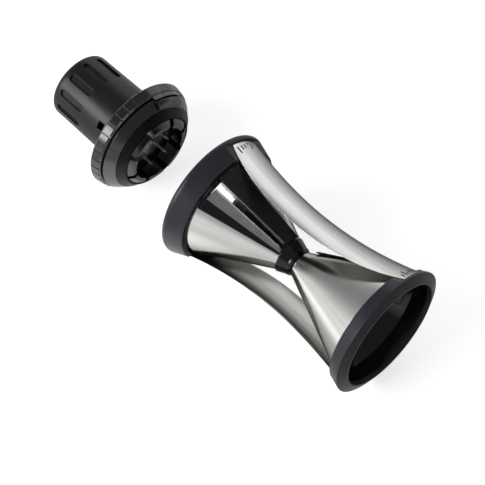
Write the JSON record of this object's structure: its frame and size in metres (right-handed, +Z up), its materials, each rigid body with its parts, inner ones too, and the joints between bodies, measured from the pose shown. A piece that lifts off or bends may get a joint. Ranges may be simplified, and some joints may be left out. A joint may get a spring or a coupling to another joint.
{
  "type": "spiralizer with crank",
  "caption": "Two-ended hourglass spiral vegetable cutter in steel and black plastic, shown with its hand-turned food holder lifted off the upper mouth.",
  "frame": {"origin": "on the floor, under the middle of the whole as it lies with the holder apart", "axes": "+X along the cutter's axis from the holder to the fine mouth, +Z up"},
  "size_m": [0.2352, 0.076, 0.076],
  "materials": {
    "steel_shell": "satin",
    "blade_steel": "ground",
    "rim_rubber": "matte",
    "black_plastic": "gloss",
    "holder_plastic": "satin",
    "pin_steel": "bright",
    "bush_plastic": "matte"
  },
  "bodies": {
    "cutter": {"panel_top": "steel_shell", "panel_bottom": "steel_shell", "upper_cone_sleeve": "steel_shell", "lower_cone_sleeve": "steel_shell", "upper_blade": "blade_steel", "lower_blade": "blade_steel", "upper_comb": "blade_steel", "lower_comb": "blade_steel", "upper_rim": "rim_rubber", "lower_rim": "rim_rubber", "upper_frame": "black_plastic", "lower_frame": "black_plastic", "upper_funnel": "black_plastic", "lower_funnel": "black_plastic", "upper_comb_bar": "black_plastic", "lower_comb_bar": "black_plastic", "upper_blade_carrier": "black_plastic", "lower_blade_carrier": "black_plastic", "waist_collar": "black_plastic"},
    "guard": {"guard_ring": "holder_plastic", "guard_collar": "holder_plastic", "guard_skirt": "holder_plastic", "guard_latch": "holder_plastic", "spindle_bush": "bush_plastic"},
    "knob": {"knob_shell": "holder_plastic", "slip_ring": "holder_plastic", "jaw_crown": "holder_plastic", "spindle": "pin_steel", "thrust_washers": "pin_steel", "spike_plate": "pin_steel", "spikes": "pin_steel", "plate_screw": "pin_steel"}
  },
  "joints": [
    {"name": "holder_slide", "type": "slide", "parent": "cutter", "child": "guard", "axis": [1, 0, 0], "range_m": [-0.06, 0.045]},
    {"name": "knob_turn", "type": "hinge", "parent": "guard", "child": "knob", "pos_m": [-0.06891, 0.00008, 0.03804], "axis": [0.9993, -0.0341, -0.0166], "continuous": true}
  ]
}
